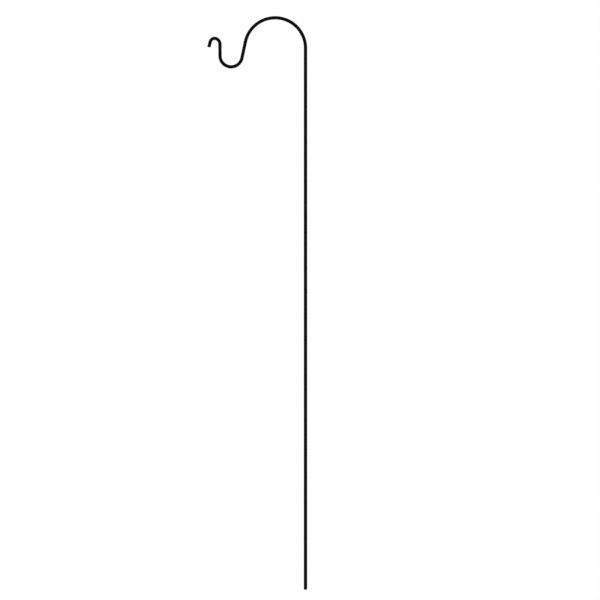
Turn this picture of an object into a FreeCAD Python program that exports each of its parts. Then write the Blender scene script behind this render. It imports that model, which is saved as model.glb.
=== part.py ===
# Shepherd's hook: a tall garden pole of steel tube, screwed together from three sections.
# The top section is bent into a wide arch, a hanging cradle and a small curl at the tip.
# The origin is the centre of the pole's ground end, +Z is up, and the hook reaches along -X.
import FreeCAD, Part
import math
import os

# Tube: sizes in millimetres, angles in degrees
TUBE_DIAMETER = 12.7
TUBE_WALL = 1.2
SEAM_CHAMFER = 0.4

# Pole: the straight stretches from the ground end up to the arch
GROUND_LENGTH = 685.8
MIDDLE_LENGTH = 739.6
HOOK_STRAIGHT = 589.6

# Hook: bend radii are to the tube's centre line, and leans are from the vertical
ARCH_RADIUS = 113.1
THROAT_LEAN = 12.0
THROAT_RUN = 61.6
CRADLE_RADIUS = 41.2
LEG_LEAN = 0.4
LEG_RUN = 43.4
CURL_ENTRY_RADIUS = 22.4
CURL_ENTRY_TURN = 62.4
CURL_RADIUS = 16.8
TIP_LEAN = 13.9
TIP_RUN = 17.0

# Screwed joints: a stud in the foot of each upper section, a bush in the head of each lower one
INSERT_CLEARANCE = 0.05
INSERT_RECESS = 0.3
STUD_DEPTH = 22.0
BUSH_DEPTH = 18.0
BUSH_WALL = 2.05
BUSH_COUNTERSINK = 0.5
THREAD_REACH = 12.0
THREAD_DEPTH = 0.6
THREAD_CLEARANCE = 0.05
RELIEF_LENGTH = 1.5

# End plugs
GROUND_HEAD = 3.0
GROUND_ROUND = 1.8
GROUND_PLUG_DEPTH = 16.0
TIP_HEAD = 4.0
TIP_HEAD_OVERHANG = 0.25
TIP_ROUND = 1.2
TIP_PLUG_TO_BEND = 2.0
PLUG_LEAD_IN = 0.8

# Sizes worked out from the ones above
TUBE_RADIUS = TUBE_DIAMETER / 2
BORE_RADIUS = TUBE_RADIUS - TUBE_WALL
INSERT_RADIUS = BORE_RADIUS - INSERT_CLEARANCE
BUSH_BORE_RADIUS = INSERT_RADIUS - BUSH_WALL
THREAD_RADIUS = BUSH_BORE_RADIUS - THREAD_CLEARANCE
LOWER_SEAM = GROUND_LENGTH
UPPER_SEAM = LOWER_SEAM + MIDDLE_LENGTH
ARCH_START = UPPER_SEAM + HOOK_STRAIGHT

UP = 90.0
DOWN = 270.0
AXIS = FreeCAD.Vector(0, 0, 1)


def direction(heading):
    """The unit vector of a heading in the hook's plane, counted from +X towards +Z."""
    angle = math.radians(heading)
    return FreeCAD.Vector(math.cos(angle), 0, math.sin(angle))


class CentreLine:
    """Straight runs and tangent bends in the hook's plane, each drawn on from the last."""

    def __init__(self, start, heading):
        self.start = start
        self.point = start
        self.heading = heading
        self.edges = []

    def run(self, length):
        """Goes straight on."""
        end = self.point + length * direction(self.heading)
        self.edges.append(Part.LineSegment(self.point, end).toShape())
        self.point = end

    def bend(self, radius, heading):
        """Bends to a new heading, to the left if it is larger and to the right if it is smaller."""
        side = math.copysign(90.0, heading - self.heading)
        centre = self.point + radius * direction(self.heading + side)
        middle = centre - radius * direction((self.heading + heading) / 2 + side)
        end = centre - radius * direction(heading + side)
        self.edges.append(Part.Arc(self.point, middle, end).toShape())
        self.point = end
        self.heading = heading

    def bar(self, radius):
        """A round bar along the whole line."""
        rim = Part.Circle(self.start, direction(UP), radius).toShape()
        disc = Part.Face(Part.Wire([rim]))
        return Part.Wire(self.edges).makePipe(disc)


def hook_centre_line():
    """The top section's centre line, from the upper seam to the tube's tip."""
    line = CentreLine(UPPER_SEAM * AXIS, UP)
    line.run(HOOK_STRAIGHT)
    line.bend(ARCH_RADIUS, DOWN - THROAT_LEAN)
    line.run(THROAT_RUN)
    line.bend(CRADLE_RADIUS, UP + LEG_LEAN)
    line.run(LEG_RUN)
    line.bend(CURL_ENTRY_RADIUS, UP + LEG_LEAN + CURL_ENTRY_TURN)
    line.bend(CURL_RADIUS, DOWN - TIP_LEAN)
    line.run(TIP_RUN)
    return line


def turned(outline):
    """A piece turned about Z from its outline, a list of (radius, height)."""
    points = [FreeCAD.Vector(radius, 0, height) for radius, height in outline]
    face = Part.Face(Part.makePolygon(points + points[:1]))
    return face.revolve(FreeCAD.Vector(), AXIS, 360)


def rim_at(solid, radius, height):
    """The round edge of this radius at this height, square to the pole."""
    for edge in solid.Edges:
        circle = edge.Curve
        if not isinstance(circle, Part.Circle):
            continue
        level = edge.BoundBox.ZLength < 1e-6
        if level and abs(circle.Radius - radius) < 1e-6 and abs(circle.Center.z - height) < 1e-6:
            return edge
    raise ValueError("the solid has no such rim")


def chamfered(solid, heights):
    """A tube with its outer rims broken at these heights."""
    rims = [rim_at(solid, TUBE_RADIUS, height) for height in heights]
    return solid.makeChamfer(SEAM_CHAMFER, rims)


def straight_tube(bottom, top):
    """A tube on the pole's axis, with its bore open at both ends."""
    length = top - bottom
    outside = Part.makeCylinder(TUBE_RADIUS, length, bottom * AXIS)
    return outside.cut(Part.makeCylinder(BORE_RADIUS, length, bottom * AXIS))


def hook_tube(line):
    """The bent top section."""
    tube = line.bar(TUBE_RADIUS).cut(line.bar(BORE_RADIUS))
    return chamfered(tube, [UPPER_SEAM])


def middle_tube():
    """The middle section of the pole."""
    return chamfered(straight_tube(LOWER_SEAM, UPPER_SEAM), [LOWER_SEAM, UPPER_SEAM])


def ground_tube():
    """The section that is pushed into the ground."""
    return chamfered(straight_tube(GROUND_HEAD, LOWER_SEAM), [LOWER_SEAM])


def stud(seam):
    """A turned stud: its shank is fixed in the tube above the seam, and its thread hangs below."""
    shoulder = seam + INSERT_RECESS
    shank_top = shoulder + STUD_DEPTH
    thread_end = seam - THREAD_REACH
    neck_radius = THREAD_RADIUS - THREAD_DEPTH
    neck_end = shoulder - RELIEF_LENGTH
    return turned([
        (0, thread_end),
        (THREAD_RADIUS - THREAD_DEPTH, thread_end),
        (THREAD_RADIUS, thread_end + THREAD_DEPTH),
        (THREAD_RADIUS, neck_end - THREAD_DEPTH),
        (neck_radius, neck_end),
        (neck_radius, shoulder),
        (INSERT_RADIUS, shoulder),
        (INSERT_RADIUS, shank_top - PLUG_LEAD_IN),
        (INSERT_RADIUS - PLUG_LEAD_IN, shank_top),
        (0, shank_top),
    ])


def bush(seam):
    """A bush fixed in the tube below a seam, with a countersunk hole right through for the stud."""
    top = seam - INSERT_RECESS
    bottom = top - BUSH_DEPTH
    return turned([
        (BUSH_BORE_RADIUS, bottom),
        (INSERT_RADIUS - PLUG_LEAD_IN, bottom),
        (INSERT_RADIUS, bottom + PLUG_LEAD_IN),
        (INSERT_RADIUS, top),
        (BUSH_BORE_RADIUS + BUSH_COUNTERSINK, top),
        (BUSH_BORE_RADIUS, top - BUSH_COUNTERSINK),
    ])


def end_plug(head_radius, head, edge_round, depth):
    """A plug with its outer face at Z 0, and a head that is rounded there and seats on the tube's end."""
    shank_top = head + depth
    plug = turned([
        (0, 0),
        (head_radius, 0),
        (head_radius, head),
        (INSERT_RADIUS, head),
        (INSERT_RADIUS, shank_top - PLUG_LEAD_IN),
        (INSERT_RADIUS - PLUG_LEAD_IN, shank_top),
        (0, shank_top),
    ])
    return plug.makeFillet(edge_round, [rim_at(plug, head_radius, 0)])


def hook_tip_plug(line):
    """The plug in the curl's open end, with a head that stands a little proud of the tube."""
    head_radius = TUBE_RADIUS + TIP_HEAD_OVERHANG
    plug = end_plug(head_radius, TIP_HEAD, TIP_ROUND, TIP_RUN - TIP_PLUG_TO_BEND)
    outward = direction(line.heading)
    plug.Placement = FreeCAD.Placement(line.point + TIP_HEAD * outward, FreeCAD.Rotation(AXIS, -outward))
    return plug


def pieces():
    """Every piece of the assembled hook, by name."""
    line = hook_centre_line()
    return {
        "hook_tube": hook_tube(line),
        "hook_tip_plug": hook_tip_plug(line),
        "hook_stud": stud(UPPER_SEAM),
        "middle_bush": bush(UPPER_SEAM),
        "middle_tube": middle_tube(),
        "middle_stud": stud(LOWER_SEAM),
        "ground_bush": bush(LOWER_SEAM),
        "ground_tube": ground_tube(),
        "ground_plug": end_plug(TUBE_RADIUS, GROUND_HEAD, GROUND_ROUND, GROUND_PLUG_DEPTH),
    }


os.makedirs("parts", exist_ok=True)
for name, solid in pieces().items():
    solid.exportStep(f"parts/{name}.step")
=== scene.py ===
"""Shepherd's hook: the looks of a tall garden pole of black steel tube, in three screwed sections.

Every piece is in metres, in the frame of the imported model: the origin is the centre of the pole's
ground end, +Z is up, and the hook lies in the XZ plane and reaches along -X.
"""

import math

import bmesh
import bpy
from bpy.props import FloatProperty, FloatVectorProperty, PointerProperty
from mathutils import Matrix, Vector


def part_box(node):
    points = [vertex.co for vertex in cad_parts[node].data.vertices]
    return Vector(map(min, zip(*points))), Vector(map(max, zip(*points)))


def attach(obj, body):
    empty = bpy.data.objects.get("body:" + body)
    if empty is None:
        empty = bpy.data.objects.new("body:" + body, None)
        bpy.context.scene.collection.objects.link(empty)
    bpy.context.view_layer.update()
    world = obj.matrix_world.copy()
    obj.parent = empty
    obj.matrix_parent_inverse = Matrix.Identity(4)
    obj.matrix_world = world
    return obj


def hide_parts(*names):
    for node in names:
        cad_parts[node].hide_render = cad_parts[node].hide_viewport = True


bl_info = {
    "name": "Shepherds hook",
    "version": (1, 0, 0),
    "blender": (4, 5, 0),
    "location": "3D View > Sidebar > Shepherds hook",
    "description": "Makes a garden hook of coated tube sections, its screwed joints, plugs and stage",
    "category": "Object",
}

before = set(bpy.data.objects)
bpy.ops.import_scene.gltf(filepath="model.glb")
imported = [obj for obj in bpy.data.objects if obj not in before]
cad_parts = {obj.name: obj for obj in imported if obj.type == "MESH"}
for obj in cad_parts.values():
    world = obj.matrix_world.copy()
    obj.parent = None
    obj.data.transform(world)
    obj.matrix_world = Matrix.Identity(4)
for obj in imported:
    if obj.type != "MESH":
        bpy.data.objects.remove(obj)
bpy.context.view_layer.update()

MM = 0.001
QUARTER_TURN = math.radians(90)

# Headings in the hook's plane
UP = QUARTER_TURN
DOWN = 3 * QUARTER_TURN

# How finely the round pieces are meshed
SIDES = 48
BEND_STEP = math.radians(2.4)
LARGEST_ARC = math.radians(45)
CURVE_STEPS = 24
ROUND_STEPS = 8
THREAD_ROWS = 8
WELD = 0.005 * MM
SHARP_ANGLE = math.radians(35)

# The colour sockets of a Mix node, which has one set for each kind of data
MIX_SHARE = 0
MIX_FIRST = 6
MIX_SECOND = 7
MIX_RESULT = 2

NOISE_DETAIL = 2.0
WHITE = (1, 1, 1, 1)

# Directions from the hook to the two lamps
KEY_LAMP_SIDE = Vector((-2.2, -3.0, 2.6))
FILL_LAMP_SIDE = Vector((2.6, -2.4, 1.4))

# Sizes that the frame already holds
TUBE_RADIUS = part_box("middle_tube")[1].x
LOWER_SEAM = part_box("middle_tube")[0].z
UPPER_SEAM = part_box("middle_tube")[1].z
GROUND_TUBE_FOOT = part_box("ground_tube")[0].z
GROUND_PLUG_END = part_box("ground_plug")[1].z
INSERT_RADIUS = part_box("hook_stud")[1].x
TIP_HEAD_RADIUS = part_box("hook_tip_plug")[1].y


# Settings


def linear_colour(hex_code):
    """An sRGB hex colour as linear red, green and blue."""
    shares = [int(hex_code[place:place + 2], 16) / 255 for place in (0, 2, 4)]
    return [share / 12.92 if share <= 0.04045 else ((share + 0.055) / 1.055) ** 2.4 for share in shares]


def length_property(name, description, default):
    """A length that a user may change."""
    return FloatProperty(name=name, description=description, default=default, unit="LENGTH", precision=5)


def angle_property(name, description, degrees):
    """An angle that a user may change, given in degrees."""
    default = math.radians(degrees)
    return FloatProperty(name=name, description=description, default=default, subtype="ANGLE")


def colour_property(name, description, hex_code):
    """A colour that a user may change, given as sRGB hex."""
    default = linear_colour(hex_code)
    return FloatVectorProperty(
        name=name, description=description, default=default, subtype="COLOR", min=0, max=1
    )


def light_property(name, description, default):
    """A strength of light that a user may change."""
    return FloatProperty(name=name, description=description, default=default, min=0)


class TubeSizes(bpy.types.PropertyGroup):
    """The steel tube of all three sections."""

    radius: length_property("Radius", "Outer radius of the tube", TUBE_RADIUS)
    wall: length_property("Wall", "Thickness of the tube's wall", 1.2 * MM)
    seam_chamfer: length_property("Seam chamfer", "Chamfer of the rims that meet at a seam", 0.4 * MM)
    rim_break: length_property("Rim break", "Break of the other rims and edges", 0.15 * MM)


class HookBends(bpy.types.PropertyGroup):
    """The top section's centre line, from the upper seam to the tip."""

    straight: length_property("Straight", "Straight stretch from the seam up to the arch", 589.6 * MM)
    arch_radius: length_property("Arch radius", "Radius of the wide arch at the top", 113.1 * MM)
    throat_lean: angle_property("Throat lean", "Lean of the throat from the vertical", 12.0)
    throat_run: length_property("Throat run", "Straight throat from the arch to the cradle", 61.6 * MM)
    cradle_radius: length_property("Cradle radius", "Radius of the U that things hang in", 41.2 * MM)
    leg_lean: angle_property("Leg lean", "Lean of the leg from the vertical", 0.4)
    leg_run: length_property("Leg run", "Straight leg from the cradle to the curl", 43.4 * MM)
    curl_entry_radius: length_property("Curl entry", "Wider radius at the start of the curl", 22.4 * MM)
    curl_entry_turn: angle_property("Curl entry turn", "Turn of the curl at that wider radius", 62.4)
    curl_radius: length_property("Curl radius", "Radius of the rest of the curl", 16.8 * MM)
    tip_lean: angle_property("Tip lean", "Lean of the tip from the vertical", 13.9)
    tip_run: length_property("Tip run", "Straight end of the tube after the curl", 17.0 * MM)


class ScrewSizes(bpy.types.PropertyGroup):
    """The turned stud and bush of a screwed joint."""

    pitch: length_property("Pitch", "Rise of the thread in one turn", 1.0 * MM)
    depth: length_property("Thread depth", "Depth of the thread from crest to root", 0.6 * MM)
    crest_radius: length_property("Crest radius", "Largest radius of the stud's thread", 3.0 * MM)
    bore_radius: length_property("Bore radius", "Radius of the bush's hole inside its thread", 3.05 * MM)
    relief: length_property("Relief", "Plain neck between the stud's thread and shoulder", 1.5 * MM)
    recess: length_property("Recess", "Depth of the stud's shoulder inside the tube", 0.3 * MM)
    countersink: length_property("Countersink", "Countersink at the bush's mouth", 0.5 * MM)
    lead_in: length_property("Lead-in", "Chamfer of the end that is pushed into a tube", 0.8 * MM)


class PlugSizes(bpy.types.PropertyGroup):
    """The plugs that close the pole's two ends."""

    ground_round: length_property("Ground round", "Edge round of the plug at the ground end", 1.8 * MM)
    tip_head: length_property("Tip head", "Length of the tip plug's head outside the tube", 4.0 * MM)
    tip_round: length_property("Tip round", "Edge round of the tip plug", 1.2 * MM)
    tip_depth: length_property("Tip depth", "Length of the tip plug inside the tube", 15.0 * MM)


class FinishColours(bpy.types.PropertyGroup):
    """The colours of the finishes."""

    # The coat's two grain blacks are painted shade in the hollows and painted light on the tops
    coat_hollows_painted_shade: colour_property("Coat hollows", "Black of the hollows in the coat's grain", "020203")
    coat_tops_painted_light: colour_property("Coat tops", "Paler black of the tops of the coat's grain", "0D0D0E")
    rubbed_coat: colour_property("Rubbed powder coat", "Greyer black of the rims at the seams", "1C1C1D")
    plastic: colour_property("Plastic", "Black of the moulded tip plug", "060607")
    rubbed_plastic: colour_property("Rubbed plastic", "Greyer black on the tip plug's grain", "0B0B0C")
    oxide: colour_property("Black oxide", "Blue-black of the studs and bushes", "26272A")
    brown_oxide: colour_property("Brown oxide", "Browner black where the oil has dried", "322F2C")
    floor: colour_property("Floor", "Pale studio floor", "EDEDEB")


class StudioPicture(bpy.types.PropertyGroup):
    """The picture's frame and the studio's light."""

    width: length_property("Picture width", "Width that the square picture spans", 2232.6 * MM)
    middle_x: length_property("Picture middle X", "Picture's middle along X", -20.5 * MM)
    middle_z: length_property("Picture middle Z", "Picture's middle above the ground end", 1078.0 * MM)
    distance: length_property("Camera distance", "Distance of the camera from the hook's plane", 4.0)
    floor_side: length_property("Floor side", "Side of the square floor", 16.0)
    floor_glow: light_property("Floor glow", "The floor's own light where it is seen", 0.21)
    surround: light_property("Surround", "Soft light from all round", 0.55)
    key: light_property("Key lamp", "Strength of the lamp at the left front", 1.6)
    fill: light_property("Fill lamp", "Strength of the lamp at the right front", 0.8)
    softness: angle_property("Lamp width", "Angle that each lamp fills, which softens its shadows", 40.0)


class HookSettings(bpy.types.PropertyGroup):
    """All settings of the hook, by group."""

    tube: PointerProperty(type=TubeSizes, name="Tube", description="The steel tube")
    bends: PointerProperty(type=HookBends, name="Hook", description="The bends of the hook")
    screw: PointerProperty(type=ScrewSizes, name="Screwed joints", description="The studs and bushes")
    plugs: PointerProperty(type=PlugSizes, name="Plugs", description="The end plugs")
    colours: PointerProperty(type=FinishColours, name="Colours", description="The finishes' colours")
    picture: PointerProperty(type=StudioPicture, name="Picture", description="The picture and its light")


# Nodes


def add(tree, kind, settings=None, inputs=None):
    """Adds a node. Settings are its attributes, and each input is a value or another node's output."""
    node = tree.nodes.new(kind)
    for name, value in (settings or {}).items():
        setattr(node, name, value)
    for key, value in (inputs or {}).items():
        if isinstance(value, bpy.types.NodeSocket):
            tree.links.new(value, node.inputs[key])
        else:
            node.inputs[key].default_value = value
    return node


def new_tree(name, inputs):
    """A geometry tree with one geometry output and named inputs, each given with its socket type."""
    tree = bpy.data.node_groups.new(name, "GeometryNodeTree")
    tree.interface.new_socket("Geometry", in_out="INPUT", socket_type="NodeSocketGeometry")
    for label, kind in inputs.items():
        tree.interface.new_socket(label, in_out="INPUT", socket_type=kind)
    tree.interface.new_socket("Geometry", in_out="OUTPUT", socket_type="NodeSocketGeometry")
    return tree


def end_tree(tree, last, finish):
    """Ends a geometry tree: instances become real, and the piece gets its finish."""
    real = add(tree, "GeometryNodeRealizeInstances", {}, {"Geometry": last.outputs[0]})
    coated = add(tree, "GeometryNodeSetMaterial", {}, {"Geometry": real.outputs[0], "Material": finish})
    add(tree, "NodeGroupOutput", {}, {"Geometry": coated.outputs[0]})


def bending_tree():
    """Bends a straight turned piece: a height above its foot becomes a length along the centre line."""
    tree = new_tree("Bend along centre line", {
        "Centre line": "NodeSocketObject",
        "Foot height": "NodeSocketFloat",
        "Finish": "NodeSocketMaterial",
    })
    given = add(tree, "NodeGroupInput").outputs
    line = add(tree, "GeometryNodeObjectInfo", {}, {"Object": given["Centre line"]})
    position = add(tree, "GeometryNodeInputPosition")
    straight = add(tree, "ShaderNodeSeparateXYZ", {}, {0: position.outputs[0]})
    length = add(tree, "ShaderNodeMath", {"operation": "SUBTRACT"}, {
        0: straight.outputs["Z"],
        1: given["Foot height"],
    })
    sample = add(tree, "GeometryNodeSampleCurve", {"mode": "LENGTH"}, {
        "Curves": line.outputs["Geometry"],
        "Length": length.outputs[0],
    })
    across = add(tree, "ShaderNodeVectorMath", {"operation": "CROSS_PRODUCT"}, {
        0: (0, 1, 0),
        1: sample.outputs["Tangent"],
    })
    in_plane = add(tree, "ShaderNodeVectorMath", {"operation": "MULTIPLY_ADD"}, {
        0: across.outputs[0],
        1: straight.outputs["X"],
        2: sample.outputs["Position"],
    })
    out_of_plane = add(tree, "ShaderNodeCombineXYZ", {}, {"Y": straight.outputs["Y"]})
    bent = add(tree, "GeometryNodeSetPosition", {}, {
        "Geometry": given["Geometry"],
        "Position": in_plane.outputs[0],
        "Offset": out_of_plane.outputs[0],
    })
    end_tree(tree, bent, given["Finish"])
    return tree


def thread_tree():
    """Closes the gap in a turned piece with a right-handed screw thread, on a grid along the helix.

    Across the grid is one turn, and along it are the thread's waves, so a crest is one row of points.
    The thread runs out to the base radius at both ends.
    """
    tree = new_tree("Screw thread", {
        "Base radius": "NodeSocketFloat",
        "Depth": "NodeSocketFloat",
        "Pitch": "NodeSocketFloat",
        "Start": "NodeSocketFloat",
        "End": "NodeSocketFloat",
        "Sides": "NodeSocketInt",
        "Rows in a turn": "NodeSocketInt",
        "Weld": "NodeSocketFloat",
        "Finish": "NodeSocketMaterial",
    })
    given = add(tree, "NodeGroupInput").outputs
    math_node = "ShaderNodeMath"
    # One turn more than the thread's length holds, as each turn starts a pitch lower than it ends
    reach = add(tree, math_node, {"operation": "SUBTRACT"}, {0: given["End"], 1: given["Start"]})
    pitches = add(tree, math_node, {"operation": "DIVIDE"}, {0: reach.outputs[0], 1: given["Pitch"]})
    whole = add(tree, math_node, {"operation": "CEIL"}, {0: pitches.outputs[0]})
    turns = add(tree, math_node, {"operation": "ADD"}, {0: whole.outputs[0], 1: 1})
    rows = add(tree, math_node, {"operation": "MULTIPLY_ADD"}, {
        0: turns.outputs[0],
        1: given["Rows in a turn"],
        2: 1,
    })
    columns = add(tree, math_node, {"operation": "ADD"}, {0: given["Sides"], 1: 1})
    grid = add(tree, "GeometryNodeMeshGrid", {}, {
        "Size X": 1.0,
        "Size Y": turns.outputs[0],
        "Vertices X": columns.outputs[0],
        "Vertices Y": rows.outputs[0],
    })
    # The grid lies about its middle, so half of its size is added to count from its edges
    position = add(tree, "GeometryNodeInputPosition")
    place = add(tree, "ShaderNodeSeparateXYZ", {}, {0: position.outputs[0]})
    turn = add(tree, math_node, {"operation": "ADD"}, {0: place.outputs["X"], 1: 0.5})
    wave = add(tree, math_node, {"operation": "MULTIPLY_ADD"}, {
        0: turns.outputs[0],
        1: 0.5,
        2: place.outputs["Y"],
    })
    # Height: the helix rises a pitch in a turn, and stops at the two ends
    climb = add(tree, math_node, {"operation": "ADD"}, {0: wave.outputs[0], 1: turn.outputs[0]})
    lead = add(tree, math_node, {"operation": "SUBTRACT"}, {0: climb.outputs[0], 1: 1})
    rise = add(tree, math_node, {"operation": "MULTIPLY_ADD"}, {
        0: lead.outputs[0],
        1: given["Pitch"],
        2: given["Start"],
    })
    height = add(tree, "ShaderNodeClamp", {}, {0: rise.outputs[0], 1: given["Start"], 2: given["End"]})
    # Radius: a rounded wave, cut off by a 45 degree cone at either end
    phase = add(tree, math_node, {"operation": "MULTIPLY"}, {0: wave.outputs[0], 1: math.tau})
    swing = add(tree, math_node, {"operation": "COSINE"}, {0: phase.outputs[0]})
    half = add(tree, math_node, {"operation": "MULTIPLY"}, {0: given["Depth"], 1: 0.5})
    dip = add(tree, math_node, {"operation": "MULTIPLY"}, {0: half.outputs[0], 1: swing.outputs[0]})
    crest = add(tree, math_node, {"operation": "SUBTRACT"}, {0: half.outputs[0], 1: dip.outputs[0]})
    above = add(tree, math_node, {"operation": "SUBTRACT"}, {0: height.outputs[0], 1: given["Start"]})
    below = add(tree, math_node, {"operation": "SUBTRACT"}, {0: given["End"], 1: height.outputs[0]})
    cones = add(tree, math_node, {"operation": "MINIMUM"}, {0: above.outputs[0], 1: below.outputs[0]})
    stand = add(tree, math_node, {"operation": "MINIMUM"}, {0: crest.outputs[0], 1: cones.outputs[0]})
    radius = add(tree, math_node, {"operation": "ADD"}, {0: given["Base radius"], 1: stand.outputs[0]})
    angle = add(tree, math_node, {"operation": "MULTIPLY"}, {0: turn.outputs[0], 1: math.tau})
    spoke = add(tree, "ShaderNodeCombineXYZ", {}, {"X": radius.outputs[0], "Z": height.outputs[0]})
    turned = add(tree, "ShaderNodeVectorRotate", {"rotation_type": "Z_AXIS"}, {
        "Vector": spoke.outputs[0],
        "Angle": angle.outputs[0],
    })
    band = add(tree, "GeometryNodeSetPosition", {}, {
        "Geometry": grid.outputs["Mesh"],
        "Position": turned.outputs[0],
    })
    # Both shapes go into the one input of the join
    both = add(tree, "GeometryNodeJoinGeometry", {}, {0: given["Geometry"]})
    tree.links.new(band.outputs[0], both.inputs[0])
    welded = add(tree, "GeometryNodeMergeByDistance", {}, {
        "Geometry": both.outputs[0],
        "Distance": given["Weld"],
    })
    end_tree(tree, welded, given["Finish"])
    return tree


# Finishes


def new_finish(name):
    """A material with an empty tree, and the place on the piece that its patterns read."""
    finish = bpy.data.materials.new(name)
    finish.use_nodes = True
    tree = finish.node_tree
    tree.nodes.clear()
    place = add(tree, "ShaderNodeTexCoord").outputs["Object"]
    return finish, tree, place


def end_finish(tree, surface):
    """Ends a material's tree in a surface shader with these inputs."""
    shader = add(tree, "ShaderNodeBsdfPrincipled", {}, surface)
    add(tree, "ShaderNodeOutputMaterial", {}, {"Surface": shader.outputs[0]})


def opaque(colour):
    """A colour property as red, green, blue and alpha."""
    return (*colour, 1.0)


def powder_coat(name):
    """Fine-textured matt black powder coat on steel: dry powder, baked until it only just flows.

    The eye gets a deep, dry black with a leathery grain about 0.8 mm across. Its colour carries painted
    shade in the grain's hollows and a paler painted light on its tops. The sheen drifts along the tube
    as the film's thickness does, and the rims that meet at a seam are rubbed greyer in patches.
    """
    grain_width = 0.8 * MM
    grain_height = 0.04 * MM
    film_patch = 45 * MM
    fully_rubbed = 0.4 * MM
    rubbing_end = 1.2 * MM
    least_roughness = 0.52
    roughness_drift = 0.16
    colours = bpy.context.scene.shepherds_hook.colours
    finish, tree, place = new_finish(name)
    film = add(tree, "ShaderNodeTexNoise", {}, {
        "Vector": place,
        "Scale": 1 / film_patch,
        "Detail": NOISE_DETAIL,
    })
    grain = add(tree, "ShaderNodeTexNoise", {}, {
        "Vector": place,
        "Scale": 1 / grain_width,
        "Detail": NOISE_DETAIL,
    })
    # Painted shade in the grain's hollows and painted light on its tops, following the bump's height
    black = add(tree, "ShaderNodeMix", {"data_type": "RGBA"}, {
        MIX_SHARE: grain.outputs["Fac"],
        MIX_FIRST: opaque(colours.coat_hollows_painted_shade),
        MIX_SECOND: opaque(colours.coat_tops_painted_light),
    })
    # The two seams are one middle section apart, so a height that is folded at half of that
    # is the distance to the nearer seam
    height = add(tree, "ShaderNodeSeparateXYZ", {}, {0: place})
    above = add(tree, "ShaderNodeMath", {"operation": "SUBTRACT"}, {
        0: height.outputs["Z"],
        1: LOWER_SEAM,
    })
    from_seam = add(tree, "ShaderNodeMath", {"operation": "PINGPONG"}, {
        0: above.outputs[0],
        1: (UPPER_SEAM - LOWER_SEAM) / 2,
    })
    rim = add(tree, "ShaderNodeMapRange", {}, {
        "Value": from_seam.outputs[0],
        "From Min": fully_rubbed,
        "From Max": rubbing_end,
        "To Min": 1.0,
        "To Max": 0.0,
    })
    rubbing = add(tree, "ShaderNodeMath", {"operation": "MULTIPLY"}, {
        0: rim.outputs[0],
        1: grain.outputs["Fac"],
    })
    colour = add(tree, "ShaderNodeMix", {"data_type": "RGBA"}, {
        MIX_SHARE: rubbing.outputs[0],
        MIX_FIRST: black.outputs[MIX_RESULT],
        MIX_SECOND: opaque(colours.rubbed_coat),
    })
    roughness = add(tree, "ShaderNodeMath", {"operation": "MULTIPLY_ADD"}, {
        0: film.outputs["Fac"],
        1: roughness_drift,
        2: least_roughness,
    })
    bump = add(tree, "ShaderNodeBump", {}, {
        "Strength": 0.5,
        "Distance": grain_height,
        "Height": grain.outputs["Fac"],
    })
    end_finish(tree, {
        "Base Color": colour.outputs[MIX_RESULT],
        "Roughness": roughness.outputs[0],
        "Normal": bump.outputs[0],
        "Specular IOR Level": 0.015,
    })
    return finish


def moulded_plastic(name):
    """Black polyethylene, injection moulded: a dull, waxy black with the mould's spark-eroded grain.

    The grain's tops are rubbed a little greyer by hands and cords.
    """
    grain_width = 0.4 * MM
    grain_height = 0.03 * MM
    least_roughness = 0.5
    roughness_drift = 0.1
    colours = bpy.context.scene.shepherds_hook.colours
    finish, tree, place = new_finish(name)
    grain = add(tree, "ShaderNodeTexNoise", {}, {
        "Vector": place,
        "Scale": 1 / grain_width,
        "Detail": NOISE_DETAIL,
    })
    colour = add(tree, "ShaderNodeMix", {"data_type": "RGBA"}, {
        MIX_SHARE: grain.outputs["Fac"],
        MIX_FIRST: opaque(colours.plastic),
        MIX_SECOND: opaque(colours.rubbed_plastic),
    })
    roughness = add(tree, "ShaderNodeMath", {"operation": "MULTIPLY_ADD"}, {
        0: grain.outputs["Fac"],
        1: roughness_drift,
        2: least_roughness,
    })
    bump = add(tree, "ShaderNodeBump", {}, {
        "Strength": 0.6,
        "Distance": grain_height,
        "Height": grain.outputs["Fac"],
    })
    end_finish(tree, {
        "Base Color": colour.outputs[MIX_RESULT],
        "Roughness": roughness.outputs[0],
        "Normal": bump.outputs[0],
        "IOR": 1.51,
        "Specular IOR Level": 0.02,
    })
    return finish


def black_oxide(name):
    """Turned steel with an oiled black oxide: a dark metal, blue-black with browner patches.

    The patches are about 4 mm wide. The lathe tool leaves fine rings, drawn here every 0.4 mm so that
    they show in a close view.
    """
    patch_width = 4 * MM
    ring_spacing = 0.4 * MM
    ring_height = 0.01 * MM
    least_roughness = 0.32
    roughness_drift = 0.15
    colours = bpy.context.scene.shepherds_hook.colours
    finish, tree, place = new_finish(name)
    patches = add(tree, "ShaderNodeTexNoise", {}, {
        "Vector": place,
        "Scale": 1 / patch_width,
        "Detail": NOISE_DETAIL,
    })
    colour = add(tree, "ShaderNodeMix", {"data_type": "RGBA"}, {
        MIX_SHARE: patches.outputs["Fac"],
        MIX_FIRST: opaque(colours.oxide),
        MIX_SECOND: opaque(colours.brown_oxide),
    })
    # A wave texture at scale 1 repeats every tau / 20 of a metre
    rings = add(tree, "ShaderNodeTexWave", {"bands_direction": "Z"}, {
        "Vector": place,
        "Scale": math.tau / 20 / ring_spacing,
        "Distortion": 0.5,
    })
    roughness = add(tree, "ShaderNodeMath", {"operation": "MULTIPLY_ADD"}, {
        0: patches.outputs["Fac"],
        1: roughness_drift,
        2: least_roughness,
    })
    bump = add(tree, "ShaderNodeBump", {}, {
        "Strength": 0.3,
        "Distance": ring_height,
        "Height": rings.outputs["Fac"],
    })
    end_finish(tree, {
        "Base Color": colour.outputs[MIX_RESULT],
        "Roughness": roughness.outputs[0],
        "Normal": bump.outputs[0],
        "Metallic": 1.0,
    })
    return finish


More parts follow.
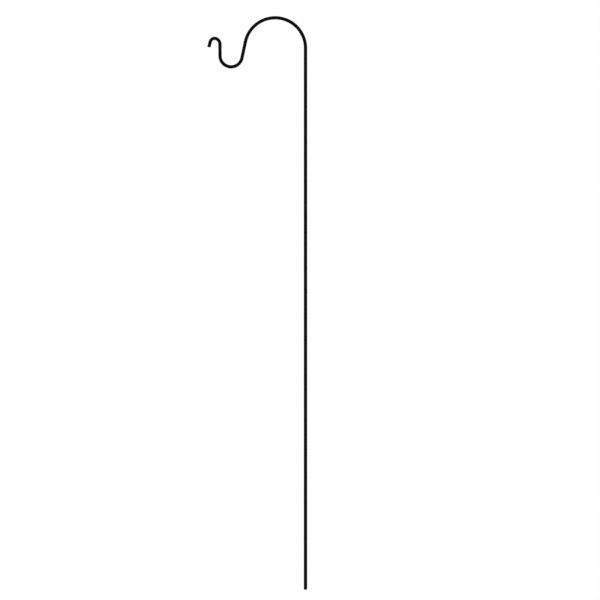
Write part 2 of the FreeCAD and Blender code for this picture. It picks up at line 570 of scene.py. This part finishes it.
FINISHES = {
    "powder_coated_tube": ("Fine-textured matt black powder coat on steel", powder_coat),
    "black_plastic": ("Moulded black polyethylene", moulded_plastic),
    "black_oxide_steel": ("Oiled black oxide on turned steel", black_oxide),
}


def finish_for(slot):
    """The finish of a material slot, made once."""
    name, make = FINISHES[slot]
    return bpy.data.materials.get(name) or make(name)


# Shapes


def direction(heading):
    """The unit vector of a heading in the hook's plane, counted from +X towards +Z."""
    return Vector((math.cos(heading), 0, math.sin(heading)))


class CentreLine:
    """Straight runs and tangent bends in the hook's plane, each drawn on from the last.

    Knots are the Bezier points with their left and right handles, and rows are the lengths along the
    line at which a bent piece needs a ring of points.
    """

    def __init__(self, height):
        start = Vector((0, 0, height))
        self.knots = [[start, start, start]]
        self.heading = UP
        self.length = 0.0
        self.rows = [0.0]

    def reach(self, point, heading, handle):
        """Adds a knot."""
        last = self.knots[-1]
        last[2] = last[0] + handle * direction(self.heading)
        self.knots.append([point, point - handle * direction(heading), point])
        self.heading = heading

    def run(self, length):
        """Goes straight on."""
        point = self.knots[-1][0] + length * direction(self.heading)
        self.reach(point, self.heading, length / 3)
        self.length += length
        self.rows.append(self.length)

    def bend(self, radius, heading):
        """Bends to a new heading, to the left if it is larger and to the right if it is smaller."""
        turn = heading - self.heading
        side = math.copysign(QUARTER_TURN, turn)
        centre = self.knots[-1][0] + radius * direction(self.heading + side)
        arcs = math.ceil(abs(turn) / LARGEST_ARC)
        # With handles of this length, a Bezier piece follows a circle's arc
        handle = 4 / 3 * radius * math.tan(abs(turn) / arcs / 4)
        for _ in range(arcs):
            reached = self.heading + turn / arcs
            self.reach(centre - radius * direction(reached + side), reached, handle)
        steps = math.ceil(abs(turn) / BEND_STEP)
        self.rows += [self.length + radius * abs(turn) * step / steps for step in range(1, steps + 1)]
        self.length = self.rows[-1]

    def curve(self, name):
        """The line as a Bezier curve object."""
        data = bpy.data.curves.new(name, "CURVE")
        data.dimensions = "3D"
        data.resolution_u = CURVE_STEPS
        spline = data.splines.new("BEZIER")
        spline.bezier_points.add(len(self.knots) - 1)
        for point, knot in zip(spline.bezier_points, self.knots):
            point.co, point.handle_left, point.handle_right = knot
        line = bpy.data.objects.new(name, data)
        bpy.context.scene.collection.objects.link(line)
        return line


def hook_line(bends, tip_head):
    """The top section's centre line, whose last two rows are the tube's end and the tip's outer face."""
    line = CentreLine(UPPER_SEAM)
    line.run(bends.straight)
    line.bend(bends.arch_radius, DOWN - bends.throat_lean)
    line.run(bends.throat_run)
    line.bend(bends.cradle_radius, UP + bends.leg_lean)
    line.run(bends.leg_run)
    line.bend(bends.curl_entry_radius, UP + bends.leg_lean + bends.curl_entry_turn)
    line.bend(bends.curl_radius, DOWN - bends.tip_lean)
    line.run(bends.tip_run)
    line.run(tip_head)
    return line


def turned_mesh(name, outlines, closed=False):
    """A mesh turned about Z from outlines of (radius, height), each with the solid on its left.

    A closed outline joins its last point to its first. A radius of 0 is one point on the axis.
    """
    shape = bmesh.new()
    for outline in outlines:
        rings = []
        for radius, height in outline:
            spokes = [math.tau * side / SIDES for side in range(SIDES if radius else 1)]
            rings.append([
                shape.verts.new((radius * math.cos(spoke), radius * math.sin(spoke), height))
                for spoke in spokes
            ])
        following = rings[1:] + (rings[:1] if closed else [])
        for low, high in zip(rings, following):
            for side in range(SIDES):
                after = (side + 1) % SIDES
                corners = [
                    low[side % len(low)],
                    low[after % len(low)],
                    high[after % len(high)],
                    high[side % len(high)],
                ]
                # On the axis two corners are the same point, which a face takes only once
                shape.faces.new(dict.fromkeys(corners))
    mesh = bpy.data.meshes.new(name)
    shape.to_mesh(mesh)
    shape.free()
    return mesh


def shape_with(piece, tree, inputs):
    """Runs a geometry tree on a piece and keeps the result as its plain mesh."""
    modifier = piece.modifiers.new(tree.name, "NODES")
    modifier.node_group = tree
    named = [item for item in tree.interface.items_tree if item.in_out == "INPUT"]
    sockets = {item.name: item.identifier for item in named}
    for label, value in inputs.items():
        modifier[sockets[label]] = value
    evaluated = piece.evaluated_get(bpy.context.evaluated_depsgraph_get())
    mesh = bpy.data.meshes.new_from_object(evaluated)
    piece.modifiers.remove(modifier)
    blank = piece.data
    piece.data = mesh
    bpy.data.meshes.remove(blank)
    mesh.name = piece.name
    shape = bmesh.new()
    shape.from_mesh(mesh)
    bmesh.ops.recalc_face_normals(shape, faces=shape.faces)
    shape.to_mesh(mesh)
    shape.free()


def make_piece(name, mesh, node, body, slot, tree=None, inputs=None):
    """Links a finished piece in place of a CAD node. A geometry tree, if given, shapes it first."""
    if name in bpy.data.objects:
        raise RuntimeError(f"{name} is there already")
    piece = bpy.data.objects.new(name, mesh)
    bpy.context.scene.collection.objects.link(piece)
    if tree:
        shape_with(piece, tree, {**inputs, "Finish": finish_for(slot)})
    else:
        mesh.materials.append(finish_for(slot))
    piece.data.shade_smooth()
    piece.data.set_sharp_from_angle(angle=SHARP_ANGLE)
    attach(piece, body)
    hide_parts(node)


def make_bent_piece(name, outline, line, node, slot, closed=False):
    """Links a piece of the top section. Its outline stands straight up until the line bends it."""
    path = line.curve("hook_centre_line")
    make_piece(
        name,
        turned_mesh(name, [outline], closed),
        node,
        "hook_section",
        slot,
        bending_tree(),
        {"Centre line": path, "Foot height": UPPER_SEAM},
    )
    bpy.data.objects.remove(path)


def tube_outline(tube, heights, foot_break, head_break):
    """A tube's wall as a closed outline, up its outside and down its bore."""
    bore = tube.radius - tube.wall
    foot, *between, head = heights
    return [
        (tube.radius - foot_break, foot),
        (tube.radius, foot + foot_break),
        *[(tube.radius, height) for height in between],
        (tube.radius, head - head_break),
        (tube.radius - head_break, head),
        (bore + tube.rim_break, head),
        (bore, head - tube.rim_break),
        *[(bore, height) for height in reversed(between)],
        (bore, foot + tube.rim_break),
        (bore + tube.rim_break, foot),
    ]


def plug_outline(head_radius, head, edge_round, depth, lead_in, rim_break):
    """A plug as an outline from its rounded outer face, at height 0, to the end inside the tube."""
    end = head + depth
    corner = [QUARTER_TURN * step / ROUND_STEPS for step in range(ROUND_STEPS + 1)]
    return [
        (0, 0),
        *[
            (head_radius - edge_round * (1 - math.sin(turn)), edge_round * (1 - math.cos(turn)))
            for turn in corner
        ],
        (head_radius, head - rim_break),
        (head_radius - rim_break, head),
        (INSERT_RADIUS, head),
        (INSERT_RADIUS, end - lead_in),
        (INSERT_RADIUS - lead_in, end),
        (0, end),
    ]


def thread_inputs(screw, base_radius, start, end):
    """The inputs of the screw thread's tree."""
    return {
        "Base radius": base_radius,
        "Depth": screw.depth,
        "Pitch": screw.pitch,
        "Start": start,
        "End": end,
        "Sides": SIDES,
        "Rows in a turn": THREAD_ROWS,
        "Weld": WELD,
    }


# Stage


def seen_directly(tree):
    """1 for a ray that shows a surface, straight or mirrored, and 0 for one that lights another."""
    path = add(tree, "ShaderNodeLightPath")
    mirrored = add(tree, "ShaderNodeMath", {"operation": "MAXIMUM"}, {
        0: path.outputs["Is Glossy Ray"],
        1: path.outputs["Is Transmission Ray"],
    })
    seen = add(tree, "ShaderNodeMath", {"operation": "MAXIMUM"}, {
        0: path.outputs["Is Camera Ray"],
        1: mirrored.outputs[0],
    })
    return seen.outputs[0]


def make_floor(side, colour, glow):
    """A pale matt floor. Where it is seen, a little light of its own makes it white as the surround."""
    mesh = bpy.data.meshes.new("studio_floor")
    half = side / 2
    corners = [(-half, -half, 0), (half, -half, 0), (half, half, 0), (-half, half, 0)]
    mesh.from_pydata(corners, [], [(0, 1, 2, 3)])
    matt = bpy.data.materials.new("Matt studio floor")
    matt.use_nodes = True
    tree = matt.node_tree
    tree.nodes.clear()
    paint = add(tree, "ShaderNodeBsdfDiffuse", {}, {"Color": colour})
    strength = add(tree, "ShaderNodeMath", {"operation": "MULTIPLY"}, {0: seen_directly(tree), 1: glow})
    lift = add(tree, "ShaderNodeEmission", {}, {"Strength": strength.outputs[0]})
    both = add(tree, "ShaderNodeAddShader", {}, {0: paint.outputs[0], 1: lift.outputs[0]})
    add(tree, "ShaderNodeOutputMaterial", {}, {"Surface": both.outputs[0]})
    mesh.materials.append(matt)
    floor = bpy.data.objects.new("studio_floor", mesh)
    bpy.context.scene.collection.objects.link(floor)


def make_surround(strength):
    """A surround that is white where it is seen, and lights the hook softly from all sides."""
    world = bpy.data.worlds.new("White surround")
    bpy.context.scene.world = world
    world.use_nodes = True
    tree = world.node_tree
    tree.nodes.clear()
    light = add(tree, "ShaderNodeBackground", {}, {"Color": WHITE, "Strength": strength})
    white = add(tree, "ShaderNodeBackground", {}, {"Color": WHITE, "Strength": 1.0})
    either = add(tree, "ShaderNodeMixShader", {}, {
        0: seen_directly(tree),
        1: light.outputs[0],
        2: white.outputs[0],
    })
    add(tree, "ShaderNodeOutputWorld", {}, {"Surface": either.outputs[0]})


def make_lamp(name, side, strength, width):
    """A far, wide lamp on that side, which lights the hook and the whole floor evenly."""
    lamp = bpy.data.objects.new(name, bpy.data.lights.new(name, "SUN"))
    lamp.data.energy = strength
    lamp.data.angle = width
    lamp.location = side
    lamp.rotation_euler = side.to_track_quat("Z", "Y").to_euler()
    bpy.context.scene.collection.objects.link(lamp)


def make_camera(picture):
    """A camera without perspective that looks square at the hook's plane."""
    camera = bpy.data.objects.new("picture_camera", bpy.data.cameras.new("picture_camera"))
    camera.data.type = "ORTHO"
    camera.data.ortho_scale = picture.width
    camera.location = (picture.middle_x, -picture.distance, picture.middle_z)
    camera.rotation_euler = (QUARTER_TURN, 0, 0)
    bpy.context.scene.collection.objects.link(camera)
    bpy.context.scene.camera = camera


# Operators


class HOOK_OT_hook_tube(bpy.types.Operator):
    """Makes the bent top section"""

    bl_idname = "hook.hook_tube"
    bl_label = "Hook tube"

    def execute(self, context):
        settings = context.scene.shepherds_hook
        tube = settings.tube
        line = hook_line(settings.bends, settings.plugs.tip_head)
        heights = [UPPER_SEAM + row for row in line.rows[:-1]]
        wall = tube_outline(tube, heights, tube.seam_chamfer, tube.rim_break)
        make_bent_piece("hook_tube_coated", wall, line, "hook_tube", "powder_coated_tube", closed=True)
        return {"FINISHED"}


class HOOK_OT_straight_tubes(bpy.types.Operator):
    """Makes the middle section and the ground section"""

    bl_idname = "hook.straight_tubes"
    bl_label = "Straight tubes"

    def execute(self, context):
        tube = context.scene.shepherds_hook.tube
        sections = {
            "middle": (LOWER_SEAM, UPPER_SEAM, tube.seam_chamfer),
            "ground": (GROUND_TUBE_FOOT, LOWER_SEAM, tube.rim_break),
        }
        for section, (foot, head, foot_break) in sections.items():
            wall = tube_outline(tube, [foot, head], foot_break, tube.seam_chamfer)
            make_piece(
                f"{section}_tube_coated",
                turned_mesh(f"{section}_tube_coated", [wall], closed=True),
                f"{section}_tube",
                f"{section}_section",
                "powder_coated_tube",
            )
        return {"FINISHED"}


class HOOK_OT_end_plugs(bpy.types.Operator):
    """Makes the coated plug in the ground end and the moulded plug in the tip"""

    bl_idname = "hook.end_plugs"
    bl_label = "End plugs"

    def execute(self, context):
        settings = context.scene.shepherds_hook
        plugs = settings.plugs
        lead_in = settings.screw.lead_in
        rim_break = settings.tube.rim_break
        ground = plug_outline(
            settings.tube.radius,
            GROUND_TUBE_FOOT,
            plugs.ground_round,
            GROUND_PLUG_END - GROUND_TUBE_FOOT,
            lead_in,
            rim_break,
        )
        make_piece(
            "ground_plug_coated",
            turned_mesh("ground_plug_coated", [ground]),
            "ground_plug",
            "ground_section",
            "powder_coated_tube",
        )
        tip = plug_outline(
            TIP_HEAD_RADIUS,
            plugs.tip_head,
            plugs.tip_round,
            plugs.tip_depth,
            lead_in,
            rim_break,
        )
        line = hook_line(settings.bends, plugs.tip_head)
        face = UPPER_SEAM + line.length
        # The tip plug is pushed back along the line from its outer face
        turned_round = [(radius, face - height) for radius, height in reversed(tip)]
        make_bent_piece("hook_tip_plug_moulded", turned_round, line, "hook_tip_plug", "black_plastic")
        return {"FINISHED"}


class HOOK_OT_studs(bpy.types.Operator):
    """Makes the threaded stud in the foot of each upper section"""

    bl_idname = "hook.studs"
    bl_label = "Threaded studs"

    def execute(self, context):
        settings = context.scene.shepherds_hook
        screw = settings.screw
        rim_break = settings.tube.rim_break
        tree = thread_tree()
        root = screw.crest_radius - screw.depth
        places = {"hook_stud": (UPPER_SEAM, "upper_screw"), "middle_stud": (LOWER_SEAM, "lower_screw")}
        for node, (seam, body) in places.items():
            foot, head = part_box(node)
            shoulder = seam + screw.recess
            neck = shoulder - screw.relief
            nose = [(0, foot.z), (root, foot.z)]
            shank = [
                (root, neck),
                (root, shoulder),
                (INSERT_RADIUS - rim_break, shoulder),
                (INSERT_RADIUS, shoulder + rim_break),
                (INSERT_RADIUS, head.z - screw.lead_in),
                (INSERT_RADIUS - screw.lead_in, head.z),
                (0, head.z),
            ]
            make_piece(
                f"{node}_threaded",
                turned_mesh(f"{node}_blank", [nose, shank]),
                node,
                body,
                "black_oxide_steel",
                tree,
                thread_inputs(screw, root, foot.z, neck),
            )
        return {"FINISHED"}


class HOOK_OT_bushes(bpy.types.Operator):
    """Makes the threaded bush in the head of each lower section"""

    bl_idname = "hook.bushes"
    bl_label = "Threaded bushes"

    def execute(self, context):
        settings = context.scene.shepherds_hook
        screw = settings.screw
        rim_break = settings.tube.rim_break
        tree = thread_tree()
        places = {"middle_bush": "middle_section", "ground_bush": "ground_section"}
        for node, body in places.items():
            foot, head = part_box(node)
            mouth = head.z - screw.countersink
            sleeve = [
                (screw.bore_radius, foot.z),
                (INSERT_RADIUS - screw.lead_in, foot.z),
                (INSERT_RADIUS, foot.z + screw.lead_in),
                (INSERT_RADIUS, head.z - rim_break),
                (INSERT_RADIUS - rim_break, head.z),
                (screw.bore_radius + screw.countersink, head.z),
                (screw.bore_radius, mouth),
            ]
            make_piece(
                f"{node}_threaded",
                turned_mesh(f"{node}_blank", [sleeve]),
                node,
                body,
                "black_oxide_steel",
                tree,
                thread_inputs(screw, screw.bore_radius, foot.z, mouth),
            )
        return {"FINISHED"}


class HOOK_OT_stage(bpy.types.Operator):
    """Makes the pale floor, the white surround, the soft lamps and the camera"""

    bl_idname = "hook.stage"
    bl_label = "Stage"

    def execute(self, context):
        settings = context.scene.shepherds_hook
        picture = settings.picture
        context.scene.view_settings.view_transform = "Standard"
        make_floor(picture.floor_side, opaque(settings.colours.floor), picture.floor_glow)
        make_surround(picture.surround)
        make_lamp("key_lamp", KEY_LAMP_SIDE, picture.key, picture.softness)
        make_lamp("fill_lamp", FILL_LAMP_SIDE, picture.fill, picture.softness)
        make_camera(picture)
        return {"FINISHED"}


class HOOK_PT_pieces(bpy.types.Panel):
    """Lists the hook's settings and the pieces that they make"""

    bl_idname = "HOOK_PT_pieces"
    bl_label = "Shepherds hook"
    bl_space_type = "VIEW_3D"
    bl_region_type = "UI"
    bl_category = "Shepherds hook"

    def draw(self, context):
        settings = context.scene.shepherds_hook
        for group in HookSettings.__annotations__:
            box = self.layout.box()
            box.label(text=settings.bl_rna.properties[group].name)
            values = getattr(settings, group)
            for name in type(values).__annotations__:
                box.prop(values, name)
        for operator in OPERATORS:
            self.layout.operator(operator.bl_idname)


GROUPS = (TubeSizes, HookBends, ScrewSizes, PlugSizes, FinishColours, StudioPicture, HookSettings)
OPERATORS = (
    HOOK_OT_hook_tube,
    HOOK_OT_straight_tubes,
    HOOK_OT_end_plugs,
    HOOK_OT_studs,
    HOOK_OT_bushes,
    HOOK_OT_stage,
)
CLASSES = (*GROUPS, *OPERATORS, HOOK_PT_pieces)


def register():
    """Adds the settings, the operators and the panel to Blender."""
    for item in CLASSES:
        bpy.utils.register_class(item)
    bpy.types.Scene.shepherds_hook = PointerProperty(type=HookSettings)


def unregister():
    """Takes them out again, the last one first."""
    del bpy.types.Scene.shepherds_hook
    for item in reversed(CLASSES):
        bpy.utils.unregister_class(item)


def main():
    register()
    bpy.ops.hook.hook_tube()
    bpy.ops.hook.straight_tubes()
    bpy.ops.hook.end_plugs()
    bpy.ops.hook.studs()
    bpy.ops.hook.bushes()
    bpy.ops.hook.stage()


if __name__ == "__main__":
    main()
